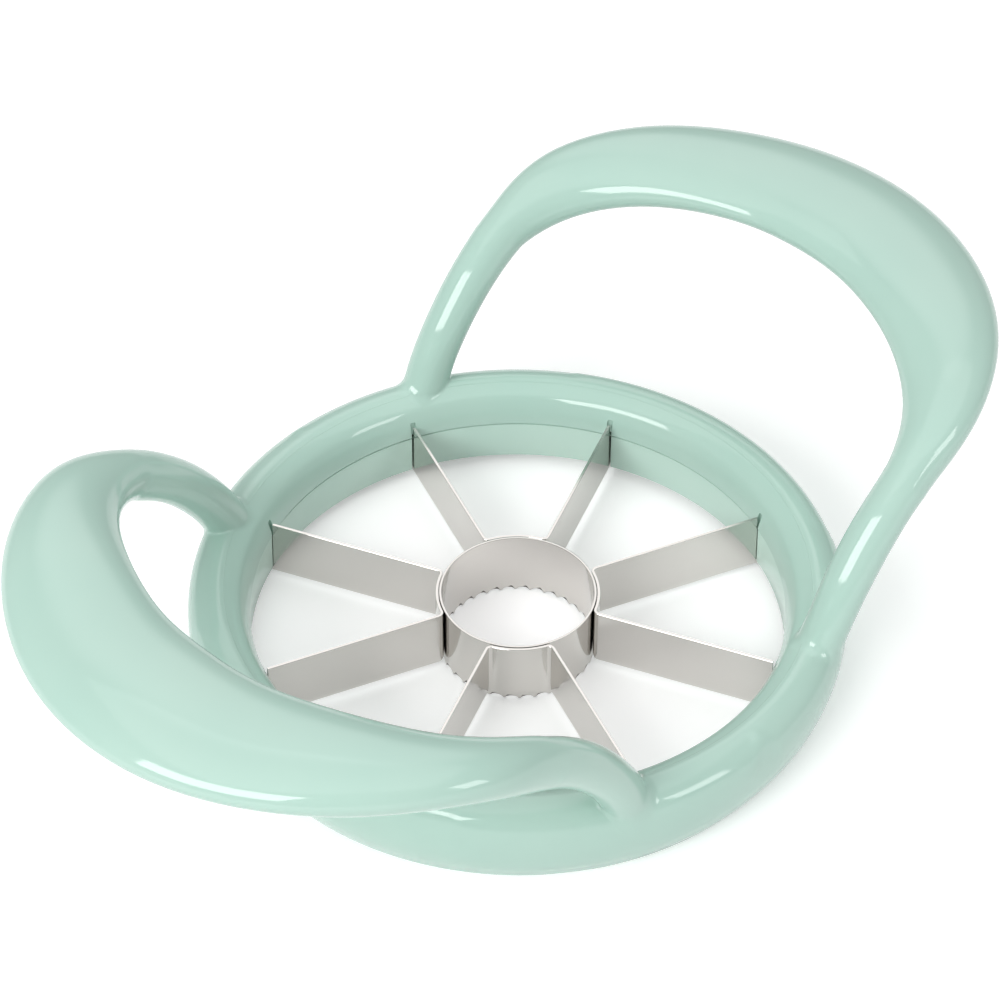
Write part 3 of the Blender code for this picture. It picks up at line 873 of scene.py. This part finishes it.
bpy.ops.mesh.normals_make_consistent(inside=False)
bpy.ops.object.mode_set(mode="OBJECT")

# The upper corner of each blade is cut away where it enters the frame
corner_reach = BLADE_SHOULDER_RADIUS + CORNER_CUTTER[0] / 2
corner_height = BLADE_SHOULDER_TOP + CORNER_CUTTER[2] / 2
corners = start_block("corner_cutter", CORNER_CUTTER, (corner_reach, 0.0, corner_height))
turn_about_axis(first)
bpy.ops.mesh.duplicate()
turn_about_axis(second - first)
bpy.ops.object.mode_set(mode="OBJECT")
boolean(strip, "DIFFERENCE", corners)

# Stainless steel, ground along the strip. It gives a grey shine with soft, drawn out reflections. The
# real grind lines are about 0.02 mm apart, too fine to show, so they are drawn 0.1 mm apart.
STEEL_GRAIN_PER_METRE = (120.0, 120.0, 9000.0)   # 8 mm long and 0.1 mm high
STEEL_GRAIN_DETAIL = 3.0
STEEL_GRAIN_RANGE = (0.3, 0.7)
STEEL_ROUGHNESS = (0.10, 0.15)
STEEL_GRAIN_STRENGTH = 0.03
STEEL_GRAIN_HEIGHT = 0.00005
ground_steel, place = new_material("ground_stainless_steel")
drawn_out = add_node(ground_steel, "ShaderNodeMapping", {"Vector": place, "Scale": STEEL_GRAIN_PER_METRE})
grain = add_node(ground_steel, "ShaderNodeTexNoise",
                 {"Vector": drawn_out.outputs[0], "Scale": 1.0, "Detail": STEEL_GRAIN_DETAIL})
rough = add_node(ground_steel, "ShaderNodeMapRange",
                 {"Value": grain.outputs[0], "From Min": STEEL_GRAIN_RANGE[0],
                  "From Max": STEEL_GRAIN_RANGE[1], "To Min": STEEL_ROUGHNESS[0],
                  "To Max": STEEL_ROUGHNESS[1]})
scratched = add_node(ground_steel, "ShaderNodeBump",
                     {"Height": grain.outputs[0], "Strength": STEEL_GRAIN_STRENGTH,
                      "Distance": STEEL_GRAIN_HEIGHT})
shader = add_node(ground_steel, "ShaderNodeBsdfPrincipled",
                  {"Base Color": srgb("#D3D0CC"), "Metallic": 1.0, "Roughness": rough.outputs[0],
                   "Normal": scratched.outputs[0]})
add_node(ground_steel, "ShaderNodeOutputMaterial", {"Surface": shader.outputs[0]})

strips = [strip]
for name in ("strip_left", "strip_front", "strip_right"):
    select_alone(strips[-1])
    bpy.ops.object.duplicate()
    copy = bpy.context.object
    copy.name = copy.data.name = name
    bpy.ops.object.mode_set(mode="EDIT")
    bpy.ops.mesh.select_all(action="SELECT")
    turn_about_axis(tau / STRIP_COUNT)
    bpy.ops.object.mode_set(mode="OBJECT")
    strips.append(copy)
for strip in strips:
    smooth_by_angle(strip, STRIP_SMOOTH_ANGLE)
    strip.data.materials.append(ground_steel)
    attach(strip, "root")
    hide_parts("blade_" + strip.name)


# Corer
# A short stainless tube, cut from drawn tube, with small scallops punched out of its lower edge. A band of
# rough metal along them is painted dark, deepest on one flank of each: painted shade, for the shade seen
# through the scallops.
CORE_WALL = 0.0004
CORE_BOTTOM = 0.0002
CORE_RISE = 0.0001
CORE_ABOVE_SCALLOPS = 0.0015
CORE_TOP_BAND = 0.0002
CORE_BEVEL = 0.00005
CORE_BEVEL_ANGLE = radians(40)
SCALLOP_COUNT = 32
SCALLOP_STEPS = 16
SCALLOP_DEPTH = 0.0006
SCALLOP_WIDTH_SHARE = 0.8
SHADE_BAND_FLANK = 0.28
SHADE_BAND_SPREAD = 0.15
SHADE_BAND_LEAST = 0.00008
SHADE_BAND_MOST = 0.00036
GROUND_SLOT = 0    # where the two steels stand among the corer's materials
# The second slot holds the band along the scallops that is painted dark, as painted shade
PAINTED_SHADE_SLOT = 1


def scallop_share(point):
    """How far round its own scallop a point lies, from 0 to 1."""
    return point.co.xy.angle_signed(Vector((1.0, 0.0))) / tau * SCALLOP_COUNT % 1.0


corer = start_object("corer", bpy.ops.mesh.primitive_circle_add, vertices=SCALLOP_COUNT * SCALLOP_STEPS,
                     radius=CORE_RADIUS, location=(0, 0, 0))
for point in corer.data.vertices:
    away = abs(scallop_share(point) - 0.5) * 2 / SCALLOP_WIDTH_SHARE
    point.co.z = CORE_BOTTOM + SCALLOP_DEPTH * max(0.0, 1.0 - away * away) ** 0.5
bpy.ops.object.mode_set(mode="EDIT")
bpy.ops.mesh.select_all(action="SELECT")
bpy.ops.mesh.extrude_edges_move()
bm = bmesh.from_edit_mesh(corer.data)
for point in bm.verts:
    if point.select:
        # The band of painted shade reaches highest on one flank of each scallop
        flank = (scallop_share(point) - SHADE_BAND_FLANK) / SHADE_BAND_SPREAD
        point.co.z += SHADE_BAND_LEAST + SHADE_BAND_MOST * exp(-flank * flank)
# The band's faces take the dark material of painted shade
for face in bm.faces:
    face.material_index = PAINTED_SHADE_SLOT
bmesh.update_edit_mesh(corer.data)
core_top = BLADE_TOP + CORE_RISE
for level in (CORE_ABOVE_SCALLOPS, core_top - CORE_TOP_BAND, core_top):
    bpy.ops.mesh.extrude_edges_move()
    bm = bmesh.from_edit_mesh(corer.data)
    for point in bm.verts:
        if point.select:
            point.co.z = level
    for face in bm.faces:
        if any(point.select for point in face.verts):
            face.material_index = GROUND_SLOT
    bmesh.update_edit_mesh(corer.data)
bpy.ops.mesh.select_all(action="SELECT")
bpy.ops.mesh.normals_make_consistent(inside=False)
bpy.ops.object.mode_set(mode="OBJECT")
finish_modifier(corer, "SOLIDIFY", thickness=CORE_WALL, offset=-1.0)
break_edges(corer, CORE_BEVEL, CORE_BEVEL_ANGLE)
smooth_by_angle(corer, SMOOTH_ANGLE)

# Rough, grainy stainless steel along the punched scallops, painted dark and dull: painted shade, for the
# shade seen through the scallops. The real grain is about 0.02 mm, too fine to show, so it is drawn 0.25 mm
# across.
SHADE_BAND_GRAIN_PER_METRE = 4000.0
SHADE_BAND_GRAIN_DETAIL = 2.0
SHADE_BAND_ROUGHNESS = 0.4
painted_shade_steel, place = new_material("stainless_edge_painted_shade")
shade_grain = add_node(painted_shade_steel, "ShaderNodeTexNoise",
                {"Vector": place, "Scale": SHADE_BAND_GRAIN_PER_METRE, "Detail": SHADE_BAND_GRAIN_DETAIL})
ramp = add_node(painted_shade_steel, "ShaderNodeValToRGB", {"Fac": shade_grain.outputs[0]})
ramp.color_ramp.elements[0].color = srgb("#3A3835")
ramp.color_ramp.elements[1].color = srgb("#77746F")
shader = add_node(painted_shade_steel, "ShaderNodeBsdfPrincipled",
                  {"Base Color": ramp.outputs[0], "Metallic": 1.0, "Roughness": SHADE_BAND_ROUGHNESS})
add_node(painted_shade_steel, "ShaderNodeOutputMaterial", {"Surface": shader.outputs[0]})
corer.data.materials.append(ground_steel)
corer.data.materials.append(painted_shade_steel)
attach(corer, "root")
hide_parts("core_ring")


# Floor and light
# The slicer lies on a sheet of matt white paper. It is shown white to the camera, and a little less so
# in reflections, and it keeps the slicer's shadow. Inside the ring it is a touch darker, which is painted
# shade from the ring.
FLOOR_SIZE = 6.0
# Less glow inside the ring than outside it is painted shade
GLOW_INSIDE = 0.31
GLOW_OUTSIDE = 0.33
GLOW_FADE_RADII = (0.040, 0.062)
GLOW_IN_REFLECTIONS = 0.8
floor = start_object("floor", bpy.ops.mesh.primitive_plane_add, size=FLOOR_SIZE)
white_paper, place = new_material("white_paper_sweep")
diffuse = add_node(white_paper, "ShaderNodeBsdfDiffuse", {"Color": srgb("#F2F2F2")})
centre = add_node(white_paper, "ShaderNodeVectorMath", {0: place}, operation="LENGTH")
spread = add_node(white_paper, "ShaderNodeMapRange",
                  {"Value": centre.outputs["Value"], "From Min": GLOW_FADE_RADII[0],
                   "From Max": GLOW_FADE_RADII[1], "To Min": GLOW_INSIDE, "To Max": GLOW_OUTSIDE},
                  interpolation_type="SMOOTHSTEP")
glow = add_node(white_paper, "ShaderNodeEmission", {"Color": srgb("#FFFFFF"), "Strength": spread.outputs[0]})
rays = add_node(white_paper, "ShaderNodeLightPath")
seen = add_node(white_paper, "ShaderNodeMath",
                {0: rays.outputs["Is Glossy Ray"], 1: GLOW_IN_REFLECTIONS, 2: rays.outputs["Is Camera Ray"]},
                operation="MULTIPLY_ADD")
both = add_node(white_paper, "ShaderNodeAddShader", {0: diffuse.outputs[0], 1: glow.outputs[0]})
mixed = add_node(white_paper, "ShaderNodeMixShader",
                 {0: seen.outputs[0], 1: diffuse.outputs[0], 2: both.outputs[0]})
add_node(white_paper, "ShaderNodeOutputMaterial", {"Surface": mixed.outputs[0]})
floor.data.materials.append(white_paper)

# The backdrop is bright above and behind the slicer and dims smoothly to the sides
BACKDROP_DIRECTION = (0.53, 0.51, 0.68)
BACKDROP_COSINES = (0.883, 0.994)   # where it begins to brighten, and where it is brightest
BACKDROP_DIM = 0.35
BACKDROP_BRIGHT = 1.45
world = bpy.data.worlds.new("studio")
world.use_nodes = True
background = world.node_tree.nodes["Background"]
background.inputs["Color"].default_value = srgb("#FFFFFF")
direction = add_node(world, "ShaderNodeTexCoord").outputs["Generated"]
toward_backdrop = add_node(world, "ShaderNodeVectorMath",
                           {0: direction, 1: BACKDROP_DIRECTION}, operation="DOT_PRODUCT")
sweep = add_node(world, "ShaderNodeMapRange",
                 {"Value": toward_backdrop.outputs["Value"], "From Min": BACKDROP_COSINES[0],
                  "From Max": BACKDROP_COSINES[1], "To Min": BACKDROP_DIM, "To Max": BACKDROP_BRIGHT},
                 interpolation_type="SMOOTHERSTEP")
world.node_tree.links.new(sweep.outputs[0], background.inputs["Strength"])
bpy.context.scene.world = world
bpy.context.scene.view_settings.view_transform = "Standard"

# Three softboxes: a large one at the left, a small one at the right and one overhead
SOFTBOX_DISTANCE = 1.2
SOFTBOXES = [   # name, azimuth and elevation in degrees, width, height and power
    ("left_box", -176, 36, 0.80, 0.50, 8.8),
    ("right_box", -79, 27, 0.38, 0.40, 2.2),
    ("top_box", -137, 88, 1.4, 1.4, 4.6),
]
for name, azimuth, elevation, width, height, power in SOFTBOXES:
    lamp = bpy.data.objects.new(name, bpy.data.lights.new(name, "AREA"))
    bpy.context.scene.collection.objects.link(lamp)
    lamp.data.shape = "RECTANGLE"
    lamp.data.size = width
    lamp.data.size_y = height
    lamp.data.energy = power
    turned = Matrix.Rotation(radians(azimuth), 3, "Z") @ Matrix.Rotation(-radians(elevation), 3, "Y")
    toward = turned @ Vector((1, 0, 0))
    lamp.location = toward * SOFTBOX_DISTANCE
    lamp.rotation_euler = (-toward).to_track_quat("-Z", "Y").to_euler()
